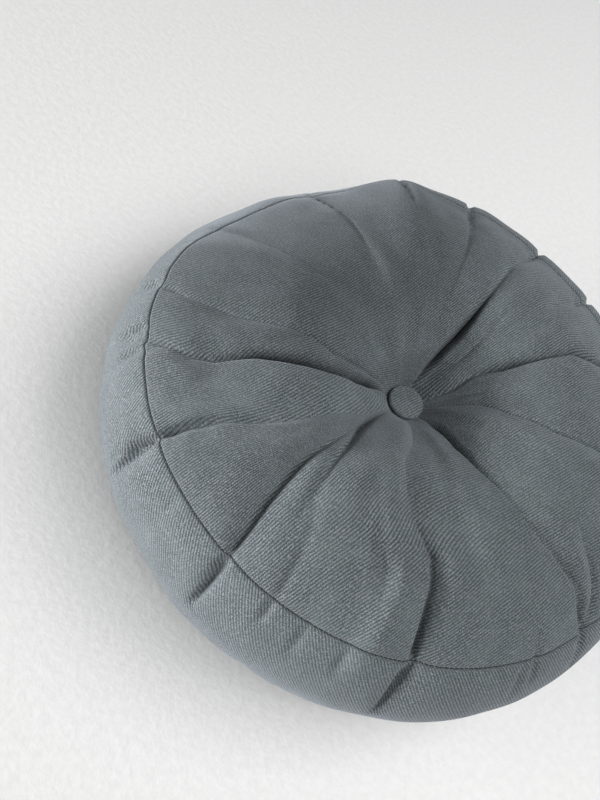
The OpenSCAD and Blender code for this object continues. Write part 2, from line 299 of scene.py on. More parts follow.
def dips(angles):
    """How far every point of the grid lies below the outline and how far it is shifted along it, in metres,
    and how much painted shade darkens the cloth there, from 0 to 1."""
    dip = np.zeros((ROWS, COLUMNS))
    jog = np.zeros((ROWS, COLUMNS))
    painted_shade = np.zeros((ROWS, COLUMNS))
    row = np.arange(ROWS)
    radius = OUTLINE[:, 0]
    for folds, seam, side in ((TOP_FOLDS + TOP_SMALL, TOP_ROW, 1), (LOW_FOLDS, LOW_ROW, -1)):
        below = (row - seam) * side * CELL
        for points, run, drift in folds:
            over = np.maximum(below, 0)
            last_r, last_angle, last_broad, last_sharp = points[-1]
            path = np.radians(fold_at(points, radius, 1))
            drifted = math.radians(last_angle) + math.radians(drift) * over / max(run * MM, CELL)
            path = np.where(below > 0, drifted, path)
            fade = np.clip(1 - over / (run * MM + CELL), 0, 1) ** 0.8
            reach = np.where(below > 0, SEAM_R, radius)
            broad = np.where(below > 0, last_broad * BAND_SHARE, fold_at(points, radius, 2)) * fade * MM
            sharp = np.where(below > 0, last_sharp, fold_at(points, radius, 3)) * fade * MM
            if last_r < SEAM_AT:
                ends = (below <= 0) & (radius < last_r * MM)
                broad, sharp = broad * ends, sharp * ends
            away = turn_between(angles, path[:, None]) * reach[:, None]
            dip += crease(away, broad[:, None], sharp[:, None]) * (below[:, None] < BAND_H * 0.8)
            # Painted shade: a dark line is painted along the bottom of each deep, sharp crease of the faces.
            crease_shade_share = np.clip((sharp - CREASE_SHADE_FROM) / CREASE_SHADE_RANGE, 0, 1)[:, None] * (below[:, None] < 0)
            line = np.exp(-(away / (CREASE_SHADE_WIDTH + CREASE_SHADE_SPREAD * sharp[:, None])) ** 2)
            painted_shade = np.maximum(painted_shade, crease_shade_share * line)
    for creases, seam, side in ((TOP_BAND_CREASES, TOP_ROW, 1), (LOW_BAND_CREASES, LOW_ROW, -1)):
        below = (row - seam) * side * CELL
        for angle, place, length, broad, sharp in creases:
            share = np.clip(1 - ((below - place * MM) / (length * MM / 2)) ** 2, 0, 1)
            away = turn_between(angles, math.radians(angle)) * SEAM_R
            dip += crease(away, broad * MM * share[:, None], sharp * MM * share[:, None])
    start_soft = np.clip((radius - 12 * MM) / (20 * MM), 0.25, 1)[:, None]
    dip *= np.where((row < TOP_ROW)[:, None], start_soft, 1)
    for seam in (TOP_ROW, LOW_ROW):
        held = np.exp(-((row - seam) * CELL / SEAM_HOLD_REACH) ** 2)
        dip *= 1 - SEAM_HOLD * held[:, None]
    for angle, shift in SEAM_JOGS:
        away = turn_between(angles, math.radians(angle)) * SEAM_R
        near = np.exp(-((row - TOP_ROW) * CELL / (11 * MM)) ** 2)
        jog -= shift * MM * near[:, None] * np.tanh(away / (1.5 * MM)) * np.exp(-np.abs(away) / (9 * MM))
    # Soft, uneven waves run out from the button, and the filling is a little lumpy.
    places = [0, 10, TOP_ROW - 6, TOP_ROW + 4, LOW_ROW - 4, LOW_ROW + 6, ROWS - 10, ROWS]
    envelope = np.interp(row, places, [0, 1, 0.8, 0.5, 0.5, 0.8, 1, 0])
    turned = angles + 0.10 * np.sin(row / 11)[:, None]
    for n in WAVES:
        phase = rng.uniform(0, 2 * math.pi)
        drift = rng.uniform(-0.5, 0.5)
        size = WAVE_SIZE * (WAVES[0] / n) ** 0.7 * np.clip(radius / (n * 3.2 * MM), 0, 1) ** 2
        dip += (size * envelope)[:, None] * np.sin(n * turned + phase + drift * row[:, None] / 12)
    # Painted shade: the cloth is painted darker round the buttons, more on the side away from 285 degrees,
    # and over a sector of the upper face.
    far = 0.5 - 0.5 * np.cos(turn_between(angles, math.radians(285)))
    near_button = np.exp(-((radius - 15 * MM) / (26 * MM)) ** 2)[:, None]
    painted_shade = np.maximum(painted_shade, (0.08 + 0.20 * far) * near_button)
    shaded_sector = sector(angles, SHADED_SECTOR_AT, SHADED_SECTOR_HALF, 4)
    shaded_sector = shaded_sector * (np.clip((radius - 20 * MM) / (60 * MM), 0, 1) * (row <= TOP_ROW))[:, None]
    painted_shade = np.maximum(painted_shade, SHADED_SECTOR_DARKNESS * shaded_sector)
    return dip, jog, painted_shade


def worn_shape(angles):
    """How far the cushion has moved out and up where it has been leant on: part of the rim is pressed in and
    down, and next to that the band stands out past its seam."""
    below = (np.arange(ROWS) - TOP_ROW) * CELL
    face = np.clip((OUTLINE[:, 0] - WORN_FROM) / (SEAM_R - WORN_FROM), 0, 1) ** 1.4
    side = np.clip(1 - below / WORN_DOWN_TO, 0, 1) ** 1.2
    weight = np.where(below < 0, face, side)[:, None]
    pressed = sector(angles, 163, 27, 4) * weight
    corner = sector(angles, 131, 9, 2) * weight
    swollen = sector(angles, 91, 38, 6) * np.exp(-((below - 13 * MM) / (12 * MM)) ** 2)[:, None]
    flat = sector(angles, 224, 36, 4) * np.exp(-((OUTLINE[:, 0] - 150 * MM) / (36 * MM)) ** 2)[:, None]
    flat = flat * (below < 0)[:, None]
    moved_out = -8 * MM * pressed + 12 * MM * swollen + 5 * MM * corner
    moved_up = -13 * MM * pressed + 5 * MM * swollen + 6 * MM * corner - 5.5 * MM * flat
    return moved_out, moved_up


def soft_noise(shape, across, along):
    """Random unevenness with a spread of 1, smoothed over so many rows and columns."""
    noise = rng.normal(size=shape)
    a = np.fft.fftfreq(shape[0])[:, None] * across
    b = np.fft.fftfreq(shape[1])[None, :] * along
    noise = np.fft.ifft2(np.fft.fft2(noise) * np.exp(-18 * (a ** 2 + b ** 2))).real
    return noise / noise.std()


# ---------------------------------------------------------------- the cloth, relaxed over its filling

def ring_axes(angles):
    """The directions away from the cushion's axis and round it."""
    out = np.stack([np.cos(angles), np.sin(angles), 0 * angles], axis=-1)
    along = np.stack([-np.sin(angles), np.cos(angles), 0 * angles], axis=-1)
    return out, along


def stiffness_matrix(count, length):
    """Bending stiffness along a line of points, as the matrix that smooths what they move by."""
    d2 = np.zeros((count - 2, count))
    for i in range(count - 2):
        d2[i, i:i + 3] = (1, -2, 1)
    return np.linalg.inv(np.eye(count) + (length / CELL) ** 4 * d2.T @ d2)


def pull_together(a, b, rest):
    """Moves the points of a and b to their rest distance apart, in place."""
    gap = b - a
    dist = np.sqrt((gap * gap).sum(-1))
    move = gap * ((dist - rest) / np.maximum(dist, 1e-9))[..., None]
    a += 0.5 * move
    b -= 0.5 * move


def hoop_pass(cloth, rest):
    """Keeps each ring's cells at their length. Even and odd cells take turns."""
    for start in (0, 1):
        a = cloth[:, start::2]
        b = np.roll(cloth, -1, axis=1)[:, start::2].copy()
        pull_together(a, b, rest[:, start::2])
        cloth[:, (np.arange(start, COLUMNS, 2) + 1) % COLUMNS] = b


def rise_pass(cloth, rest):
    """Keeps the cells at their length along the outline."""
    for start in (0, 1):
        last = start + 2 * ((ROWS - start) // 2)
        pull_together(cloth[start:last:2], cloth[start + 1:last:2], rest[start:last - 1:2])


def normals_of(cloth):
    """The directions square to the cloth, outwards."""
    across = np.roll(cloth, -1, axis=1) - np.roll(cloth, 1, axis=1)
    return unit(np.cross(np.gradient(cloth, axis=0), across))


def relax_cover():
    """The cover as a grid of points. The folds are laid in as listed, and then the cloth is let go: the
    filling pushes it out, its threads keep their length, it resists bending, and the twine and the floor hold
    it."""
    angles = column_angles()
    out, along = ring_axes(angles)
    up = np.array([0, 0, 1.0])
    n2 = outline_normals(OUTLINE)
    outward = n2[:, None, 0:1] * out + n2[:, None, 1:2] * up
    down_line = n2[:, None, 1:2] * out - n2[:, None, 0:1] * up
    plain = OUTLINE[:, None, 0:1] * out + OUTLINE[:, None, 1:2] * up
    dip, jog, painted_shade = dips(angles)
    laid = plain - dip[..., None] * outward + jog[..., None] * down_line
    moved_out, moved_up = worn_shape(angles)
    laid += moved_out[..., None] * out + moved_up[..., None] * up
    laid[..., 2] = np.maximum(laid[..., 2], 0)
    laid[0], laid[-1] = plain[0], plain[-1]

    hoop_rest = np.linalg.norm(np.roll(laid, -1, axis=1) - laid, axis=-1) * HOOP_SLACK
    rise_rest = np.linalg.norm(np.diff(laid, axis=0), axis=-1) * RISE_SLACK
    waves = np.arange(COLUMNS // 2 + 1)
    hoop_filter = 1 / (1 + (BEND_LEN * waves[None, :] / OUTLINE[:, 0:1]) ** 4)
    segments = [(0, TOP_ROW + 1), (TOP_ROW, LOW_ROW + 1), (LOW_ROW, ROWS)]
    smoothers = [stiffness_matrix(b - a, BEND_LEN) for a, b in segments]

    cloth = laid.copy()
    last = cloth.copy()
    for _ in range(RELAX_STEPS):
        speed = cloth - last
        last = cloth.copy()
        cloth = cloth + SPEED_KEPT * speed + PUFF * normals_of(cloth)
        for _ in range(LENGTH_PASSES):
            hoop_pass(cloth, hoop_rest)
            rise_pass(cloth, rise_rest)
        moved = cloth - laid
        parts = np.stack([(moved * out).sum(-1), (moved * along).sum(-1), moved[..., 2]])
        smooth = np.fft.irfft(np.fft.rfft(parts, axis=2) * hoop_filter, n=COLUMNS, axis=2)
        for (a, b), matrix in zip(segments, smoothers):
            smooth[:, a:b] = matrix @ smooth[:, a:b]
        parts = smooth * (1 - HOLD)
        cloth = laid + parts[0][..., None] * out + parts[1][..., None] * along + parts[2][..., None] * up
        radius = np.hypot(cloth[..., 0], cloth[..., 1])
        push = np.maximum((CAP_R + 0.5 * MM) / np.maximum(radius, 1e-6), 1.0)
        for rows in (slice(1, 8), slice(ROWS - 8, ROWS - 1)):
            cloth[rows, :, :2] *= push[rows, :, None]
        cloth[0], cloth[-1] = laid[0], laid[-1]
        cloth[..., 2] = np.maximum(cloth[..., 2], 0.0)
    return cloth, angles, painted_shade


# ---------------------------------------------------------------- meshes from grids

def finer_ring(grid):
    """Twice the columns, by a smooth curve through the points."""
    mid = (9 * (grid + np.roll(grid, -1, 1)) - np.roll(grid, 1, 1) - np.roll(grid, -2, 1)) / 16
    return np.stack([grid, mid], axis=2).reshape(grid.shape[0], -1, grid.shape[2])


def finer_rows(grid):
    """Twice the rows, by a smooth curve through the points."""
    before = np.concatenate([2 * grid[:1] - grid[1:2], grid[:-1]])[:-1]
    after = np.concatenate([grid[1:], 2 * grid[-1:] - grid[-2:-1]])[1:]
    mid = (9 * (grid[:-1] + grid[1:]) - before - after) / 16
    out = np.empty((2 * len(grid) - 1,) + grid.shape[1:])
    out[0::2], out[1::2] = grid, mid
    return out


def add_object(name, points, faces, body, node):
    """A mesh object that rides on a body and stands for a node of the frame."""
    mesh = bpy.data.meshes.new(name)
    mesh.from_pydata(np.asarray(points).tolist(), [], [[int(i) for i in f] for f in faces])
    mesh.update()
    mesh.polygons.foreach_set("use_smooth", [True] * len(mesh.polygons))
    obj = bpy.data.objects.new(name, mesh)
    bpy.context.scene.collection.objects.link(obj)
    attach(obj, body)
    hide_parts(node)
    return obj


def even_out(obj):
    """Turns every face of a closed mesh to face outwards."""
    work = bmesh.new()
    work.from_mesh(obj.data)
    bmesh.ops.recalc_face_normals(work, faces=work.faces)
    work.to_mesh(obj.data)
    work.free()


def quads(index, closed):
    """Four-sided faces between the rows and columns of an array of point numbers."""
    if closed:
        index = np.concatenate([index, index[:, :1]], axis=1)
    corners = [index[:-1, :-1], index[1:, :-1], index[1:, 1:], index[:-1, 1:]]
    return np.stack(corners, axis=-1).reshape(-1, 4).tolist()


def strip(outer, inner, places):
    """Three-sided faces between a line of points and one with fewer, which sit at the given places in it."""
    faces = []
    for n in range(len(inner) - 1):
        a, b = places[n], places[n + 1]
        middle = (a + b) // 2
        faces += [(inner[n], outer[p], outer[p + 1]) for p in range(a, middle)]
        faces.append((inner[n], outer[middle], inner[n + 1]))
        faces += [(inner[n + 1], outer[p], outer[p + 1]) for p in range(middle, b)]
    return faces


def every_other(count):
    """Every other one of a count of places, and always the last."""
    places = list(range(0, count, 2))
    return places if places[-1] == count - 1 else places + [count - 1]


def cloth_object(name, grid, flat, fold, closed, thickness, body, node):
    """A piece of cloth with its thickness. The grid is its outer side, and its inner side has fewer points.
    Two attributes go along: "weave", the flat pattern's coordinates in mm, and "fold", the painted shade:
    how much the cloth is painted darker at each point, from 0 to 1."""
    rows, columns = grid.shape[:2]
    if closed:
        across = np.roll(grid, -1, axis=1) - np.roll(grid, 1, axis=1)
    else:
        across = np.gradient(grid, axis=1)
    normal = unit(np.cross(np.gradient(grid, axis=0), across))
    kept_rows = every_other(rows)
    kept_columns = list(range(0, columns, 2)) if closed else every_other(columns)
    outward = (normal * (grid - np.array([0, 0, MIDDLE]))).sum()
    inner = (grid - math.copysign(thickness, outward) * normal)[np.ix_(kept_rows, kept_columns)]
    inner_flat = flat[np.ix_(kept_rows, kept_columns)]
    outer_id = np.arange(rows * columns).reshape(rows, columns)
    inner_id = rows * columns + np.arange(inner.shape[0] * inner.shape[1]).reshape(inner.shape[:2])
    faces = quads(outer_id, closed) + quads(inner_id, closed)
    for edge in (0, -1):
        line, below, places = outer_id[edge], inner_id[edge], list(kept_columns)
        if closed:
            line, below, places = np.append(line, line[0]), np.append(below, below[0]), places + [columns]
        faces += strip(line, below, places)
    if not closed:
        for edge in (0, -1):
            faces += strip(outer_id[:, edge], inner_id[:, edge], kept_rows)
    points = np.concatenate([grid.reshape(-1, 3), inner.reshape(-1, 3)])
    obj = add_object(name, points, faces, body, node)
    weave = obj.data.attributes.new("weave", "FLOAT_VECTOR", "POINT")
    coords = np.concatenate([flat.reshape(-1, 3), inner_flat.reshape(-1, 3)])
    weave.data.foreach_set("vector", coords.astype(np.float32).ravel())
    # Painted shade: how much each point of the outer side is painted darker; the inner side gets none.
    painted_darkness = np.zeros(len(points), np.float32)
    if fold is not None:
        painted_darkness[:rows * columns] = np.clip(fold, 0, 1).ravel()
    obj.data.attributes.new("fold", "FLOAT", "POINT").data.foreach_set("value", painted_darkness)
    even_out(obj)
    return obj


def into_seam(seam, own, other):
    """The direction from a seam into the cushion, square to the seam and to the cloth on both sides of it."""
    ring = np.roll(seam, -4, axis=0) - np.roll(seam, 4, axis=0)
    inward = unit(np.cross(unit(own - other), unit(ring)))
    centre = np.array([0, 0, MIDDLE]) - seam * np.array([0.6, 0.6, 1])
    return inward * np.sign((inward * centre).sum(-1, keepdims=True))


def turned_in(seam, own, other):
    """The rows that take a cloth's edge round into a seam and along its allowance, from the seam's line of
    points and the directions away from it along both pieces of cloth."""
    inward = into_seam(seam, own, other)
    side = unit(own - other)
    rows = [seam - EDGE_FLAT[0] * MM * own + 0.05 * MM * inward]
    return rows + [seam + aside * MM * side + depth * MM * inward for aside, depth in EDGE_TURN]


def unevenness(cloth, angles):
    """Small dents and bumps all over the cover, in metres, with a patch of rumpled cloth on its upper face.
    It is smooth at the seams, under the buttons and where it lies on the floor."""
    size = (ROWS, COLUMNS)
    row = np.arange(ROWS)
    uneven = 0.22 * MM * soft_noise(size, 2.2, 2.6) + 0.45 * MM * soft_noise(size, 7, 6)
    rumpled = sector(angles, 231, 17, 4) * np.exp(-((OUTLINE[:, 0:1] - 168 * MM) / (30 * MM)) ** 4)
    rumpled = rumpled * (row < TOP_ROW)[:, None]
    uneven += 0.75 * MM * rumpled * soft_noise(size, 1.8, 2.0)
    uneven *= np.clip(OUTLINE[:, 0:1] / (120 * MM), 0, 1) * np.clip(cloth[..., 2] / (3 * MM), 0, 1)
    for seam in (0, TOP_ROW, LOW_ROW, ROWS - 1):
        uneven *= 1 - 0.8 * np.exp(-((row - seam) / 1.2) ** 2)[:, None]
    return uneven


def cut(grid):
    """The rows of the upper panel, the band and the lower panel, each with twice the points both ways."""
    parts = (slice(0, TOP_ROW + 1), slice(TOP_ROW, LOW_ROW + 1), slice(LOW_ROW, ROWS))
    if FINE == 1:
        return [grid[part].copy() for part in parts]
    grid = finer_ring(grid)
    return [finer_rows(grid[part]) for part in parts]


# The cover, the angle of each of its columns, and the painted shade on it.
cover, column_angle, painted_darkness = relax_cover()
cover += unevenness(cover, column_angle)[..., None] * normals_of(cover)
top, band, low = cut(cover)
for part in (top, band, low):
    part[..., 2] = np.maximum(part[..., 2], FLOOR_GAP)
# The painted shade, cut into the same pieces as the cover.
top_painted_shade, _, low_painted_shade = [part[..., 0] for part in cut(painted_darkness[..., None])]
around = top.shape[1]
base_angle = np.arange(around) * 2 * math.pi / around
upper_line, lower_line = top[-1], low[0]
from_top, from_low = unit(top[-2] - top[-1]), unit(low[1] - low[0])
down_band, up_band = unit(band[1] - band[0]), unit(band[-2] - band[-1])


def mean_run(grid):
    """How long the grid's columns are on average, in mm."""
    return np.linalg.norm(np.diff(grid, axis=0), axis=-1).mean(1).sum() / MM


def face_object(name, panel, own, other, dark, node):
    """A round panel, from the hole for the button's shank to the edge turned in at the seam."""
    hub = panel[0]
    reach = np.linalg.norm(hub[:, :2], axis=1)[:, None]
    under = [np.concatenate([hub[:, :2] * r * MM / reach, hub[:, 2:]], axis=1) for r in HUB_RADII]
    grid = np.stack(under + list(panel[:-1]) + turned_in(panel[-1], own, other))
    edge = PIN_R / MM + mean_run(panel)
    radii = np.linspace(PIN_R / MM, edge, len(panel))[:-1]
    radii = np.concatenate([HUB_RADII, radii, edge + np.array(EDGE_FLAT)])[:, None]
    flat = round_flat(radii, base_angle)
    # Painted shade on the panel's own rows; none under the button or in the turned-in edge.
    fold = np.zeros(grid.shape[:2])
    fold[len(HUB_RADII):len(HUB_RADII) + len(panel) - 1] = dark[:-1]
    return cloth_object(name, grid, flat, fold, True, CLOTH_T, "cushion", node)


def turned_end(line, way):
    """The columns that take an end of the band into its join, from its last line and the way along it."""
    return [line + aside * MM * way + depth * MM * to_axis(line) for aside, depth in EDGE_TURN]


def band_object():
    """The band. It starts and ends at its join, and both its ends and both its edges are turned in."""
    rows_in = turned_in(band[0], down_band, from_top)[::-1]
    rows_out = turned_in(band[-1], up_band, from_low)
    grid = np.roll(np.stack(rows_in + list(band[1:-1]) + rows_out), -JOIN, axis=1)
    grid = np.concatenate([grid, grid[:, :1]], axis=1)
    start = turned_end(grid[:, 0], unit(grid[:, 1] - grid[:, 0]))[::-1]
    end = turned_end(grid[:, -1], unit(grid[:, -2] - grid[:, -1]))
    grid = np.stack(start + list(np.moveaxis(grid[:, 1:-1], 1, 0)) + end, axis=1)
    past = np.array(EDGE_FLAT)
    height, length = mean_run(band), 2 * math.pi * SEAM_R / MM
    heights = np.linspace(0, height, len(band))[1:-1]
    heights = np.concatenate([-past[::-1], heights, height + past])
    lengths = np.linspace(0, length, around + 1)[1:-1]
    lengths = np.concatenate([-past[:0:-1], lengths, length + past[1:]])
    flat = np.stack(np.meshgrid(lengths, heights) + [np.zeros((len(heights), len(lengths)))], axis=-1)
    return cloth_object("cover_band", grid, flat, None, False, CLOTH_T, "cushion", "side_band")


JOIN = around // 4                     # the column of the band's join, on the side that faces +Y
cover_top = face_object("cover_top", top, from_top, down_band, top_painted_shade, "top_panel")
cover_bottom = face_object("cover_bottom", low[::-1], from_low, up_band, low_painted_shade[::-1], "bottom_panel")
cover_band = band_object()

# ---------------------------------------------------------------- filling

FILL_UNDER = 1.9 * MM                  # from the cover's outside to the filling
FILL_SHY = 1.6 * MM                    # from the floor and from each button's seat to the filling
CHANNEL_R = 4.8 * MM                   # the way that the twine has pulled through the fibre


def filling_object():
    """The filling follows the cover's inside, and has a channel down its middle."""
    inner = cover - FILL_UNDER * normals_of(cover)
    inner[..., 2] = np.maximum(inner[..., 2], FILL_SHY)
    heights = np.linspace(LOWER_SEAT + FILL_SHY, UPPER_SEAT - FILL_SHY, 7)
    channel = [np.array([0, 0, height]) - CHANNEL_R * to_axis(cover[0]) for height in heights]
    grid = np.concatenate([np.stack(channel), inner])
    index = np.arange(len(grid) * COLUMNS).reshape(len(grid), COLUMNS)
    faces = quads(np.concatenate([index, index[:1]]), True)
    obj = add_object("filling_fibre", grid.reshape(-1, 3), faces, "cushion", "filling")
    even_out(obj)
    return obj


filling = filling_object()

# ---------------------------------------------------------------- stitches

def capsule(start, end, radius):
    """The points and faces of a short thread with round ends."""
    axis = unit(end - start)
    helper = np.array([0.0, 0.0, 1.0]) if abs(axis[2]) < 0.8 else np.array([1.0, 0.0, 0.0])
    u = unit(np.cross(axis, helper))
    v = np.cross(axis, u)
    length = np.linalg.norm(end - start)
    sides = 6
    turn = np.arange(sides) * 2 * math.pi / sides
    ring = np.cos(turn)[:, None] * u + np.sin(turn)[:, None] * v
    stations = ((0.0, 0.35), (0.25 * radius, 0.8), (0.8 * radius, 1.0), (length - 0.8 * radius, 1.0),
                (length - 0.25 * radius, 0.8), (length, 0.35))
    points = np.concatenate([start + axis * at + ring * radius * wide for at, wide in stations])
    index = np.arange(len(stations) * sides).reshape(len(stations), sides)
    return points, quads(index, True) + [list(index[0]), list(index[-1])]


def thread_object(name, pieces, node):
    """One object of all the stitches of a seam."""
    points, faces, count = [], [], 0
    for part, its_faces in pieces:
        points.append(part)
        faces += [[i + count for i in f] for f in its_faces]
        count += len(part)
    obj = add_object(name, np.concatenate(points), faces, "cushion", node)
    even_out(obj)
    return obj


PITCH = 3.4 * MM
STITCH = 2.7 * MM
THREAD_R = 0.34 * MM
BED = 0.95 * MM            # how deep a thread lies in its seam
RUNG_PITCH = 4.4 * MM
RUNG_AT = (1.1 * MM, 0.25 * MM)    # how far a rung's ends are to the side of the seam, and into it
CLOSING_AT = math.radians(125)     # the middle of the opening for stuffing, sewn by hand, and half its width
CLOSING_HALF = math.radians(26)


def stitches(line, closed):
    """Straight stitches one after another along a line of points."""
    if closed:
        line = np.concatenate([line, line[:1]])
    at = run_along(line)
    count = int(at[-1] / PITCH)
    pieces = []
    for n in range(count):
        a = (n + 0.5) * at[-1] / count - STITCH / 2
        ends = [np.array([np.interp(x, at, line[:, i]) for i in range(3)]) for x in (a, a + STITCH)]
        pieces.append(capsule(*ends, THREAD_R))
    return pieces


def ladder(columns):
    """The hand-sewn closing of the lower seam: rungs across it, and the thread that runs on between them."""
    pieces = []
    aside, inward = RUNG_AT
    for j in columns[::max(1, round(RUNG_PITCH / (SEAM_R * 2 * math.pi / around)))]:
        ends = [lower_line[j] + aside * side[j] + inward * into_lower[j] for side in (from_low, up_band)]
        pieces.append(capsule(*ends, THREAD_R))
    for a, b in zip(columns[:-1], columns[1:]):
        pieces.append(capsule(lower_bed[a], lower_bed[b], THREAD_R))
    return pieces


into_lower = into_seam(lower_line, from_low, up_band)
upper_bed = upper_line + BED * into_seam(upper_line, from_top, down_band)
lower_bed = lower_line + BED * into_lower
join_line = band[1:-1, JOIN]
join_bed = join_line + BED * to_axis(join_line)

off_closing = turn_between(base_angle, CLOSING_AT + math.pi)
order = np.argsort(off_closing)
by_machine = order[np.abs(off_closing[order]) < math.pi - CLOSING_HALF]
by_hand = np.nonzero(np.abs(turn_between(base_angle, CLOSING_AT)) <= CLOSING_HALF)[0]
threads = [
    thread_object("top_stitches", stitches(upper_bed, True), "top_seam_thread"),
    thread_object("bottom_stitches", stitches(lower_bed[by_machine], False), "bottom_seam_thread"),
    thread_object("ladder_stitches", ladder(by_hand), "closing_thread"),
    thread_object("join_stitches", stitches(join_bed, False), "band_join_thread"),
]

# ---------------------------------------------------------------- covered buttons

CAP_RIM = 2.3 * MM         # the radius of a button's rolled edge
CAP_DOME = 1.55 * MM       # how far its face falls from the middle to the edge
CAP_TUCK = 0.62            # the cloth under it reaches in to this share of its radius
GATHER_ROWS = (24, 36)     # between these rows of the cloth its gathers grow to their full depth
GATHER = 0.32 * MM         # how deep they are


def cap_line():
    """The outside of a covered button in section: (radius, height over its edge's lowest point), from the
    middle of its face over the rolled edge and under it."""
    face = [(r, CAP_H - CAP_DOME * (r / CAP_R) ** 2.2) for r in np.linspace(0.02 * MM, CAP_R - CAP_RIM, 22)]
    turn = np.linspace(math.radians(76), math.radians(-62), 16)
    middle_r, middle_z = CAP_R - CAP_RIM, face[-1][1] - 0.97 * CAP_RIM
    edge = [(middle_r + CAP_RIM * math.cos(a), middle_z + CAP_RIM * math.sin(a)) for a in turn]
    r1, z1 = edge[-1]
    tuck = [(r1 - (r1 - CAP_TUCK * CAP_R) * t, z1 * (1 - t) + 0.25 * MM * t) for t in (0.25, 0.5, 0.75, 1.0)]
    return np.array(face + edge[1:] + tuck)


def button_object(name, body, node, seat, way):
    """A button's cloth, stretched smooth over its face and gathered in small folds under its edge. Its face
    looks up where way is 1, and down where it is -1."""
    line = cap_line()
    sides = 240
    turn = np.arange(sides) * 2 * math.pi / sides
    gather = np.interp(np.arange(len(line)), GATHER_ROWS, (0, 1))[:, None]
    wave = 0.5 * np.sin(23 * turn + 0.8 * np.sin(3 * turn)) + 0.35 * np.sin(37 * turn + 1.3)
    r = line[:, 0:1] + GATHER * gather * wave
    z = line[:, 1:2] + 0.05 * MM * np.sin(2 * turn) * (line[:, 0:1] / CAP_R) ** 2
    grid = np.stack([r * np.cos(turn), way * r * np.sin(turn), seat + way * z], axis=-1)
    flat = round_flat(run_along(line)[:, None] / MM, turn)
    return cloth_object(name, grid, flat, None, True, CAP_CLOTH_T, body, node)


LOW_CAP_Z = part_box("bottom_button_cloth")[1].z
buttons = [
    button_object("top_button_cover", "top_button", "top_button_cloth", CAP_LO.z, 1),
    button_object("bottom_button_cover", "bottom_button", "bottom_button_cloth", LOW_CAP_Z, -1),
]

# ---------------------------------------------------------------- materials

def new_material(name):
    """A material, its node tree and its shader."""
    material = bpy.data.materials.new(name)
    material.use_nodes = True
    tree = material.node_tree
    return material, tree, tree.nodes["Principled BSDF"]


def set_inputs(node, **values):
    """Gives a node's inputs a value, or a link from another node's output. An underline means a space."""
    for key, value in values.items():
        socket = node.inputs[key.replace("_", " ")]
        if isinstance(value, bpy.types.NodeSocket):
            node.id_data.links.new(value, socket)
        else:
            socket.default_value = value


def add_node(tree, kind, settings=None, **values):
    """A node with its settings and its inputs."""
    node = tree.nodes.new(kind)
    for key, value in (settings or {}).items():
        setattr(node, key, value)
    set_inputs(node, **values)
    return node


def colour_mix(tree, factor, low, high):
    """A colour between two, by a factor that comes from another node."""
    node = add_node(tree, "ShaderNodeMix", {"data_type": "RGBA"})
    tree.links.new(factor, node.inputs[0])
    for item, colour in ((6, low), (7, high)):
        if isinstance(colour, tuple):
            node.inputs[item].default_value = colour + (1,)
        else:
            tree.links.new(colour, node.inputs[item])
    return node.outputs[2]


def ranged(tree, value, low, high, to_low=0.0, to_high=1.0):
    """A value from another node, moved from one range to another and held to it."""
    return add_node(tree, "ShaderNodeMapRange", None, Value=value, From_Min=low, From_Max=high,
                    To_Min=to_low, To_Max=to_high).outputs[0]


def bumped(tree, height, distance, strength, **normal):
    """A normal with the bumps of a height from another node, on top of an earlier Normal if one is given."""
    return add_node(tree, "ShaderNodeBump", None, Strength=strength, Distance=distance, Height=height,
                    **normal).outputs["Normal"]


def noise_at(tree, vector, scale, detail, roughness):
    """A noise between 0 and 1 over the given coordinates."""
    return add_node(tree, "ShaderNodeTexNoise", None, Vector=vector, Scale=scale, Detail=detail,
                    Roughness=roughness).outputs["Fac"]


def bands(tree, vector, direction, gap, distortion, detail, detail_scale):
    """Soft bands over the given coordinates, a gap apart."""
    return add_node(tree, "ShaderNodeTexWave", {"bands_direction": direction}, Vector=vector,
                    Scale=WAVE_SCALE / gap, Distortion=distortion, Detail=detail,
                    Detail_Scale=detail_scale).outputs["Fac"]


WAVE_SCALE = 0.31416       # the scale at which a wave texture has one band in each unit
WALE = 1.93                # mm from one diagonal line of the weave to the next
YARN = 0.8                 # mm from one yarn to the next across them
FACE_WALE = 74             # degrees: the way the wales run on the panels and the buttons, and on the band
BAND_WALE = 58
TWILL_DARK = (0.022, 0.027, 0.030)
TWILL_LIGHT = (0.262, 0.288, 0.301)
WALE_GAP = (0.020, 0.025, 0.030)
WORN_NAP = (0.23, 0.255, 0.27)
SPECK = (0.32, 0.35, 0.375)
GREEN_FIBRE = (0.095, 0.135, 0.128)
BLUE_FIBRE = (0.165, 0.172, 0.205)
UNEVEN_DYE = (0.14, 0.17, 0.17)
# The near-black colour of the painted shade.
PAINTED_SHADE_COLOUR = (0.004, 0.005, 0.006)


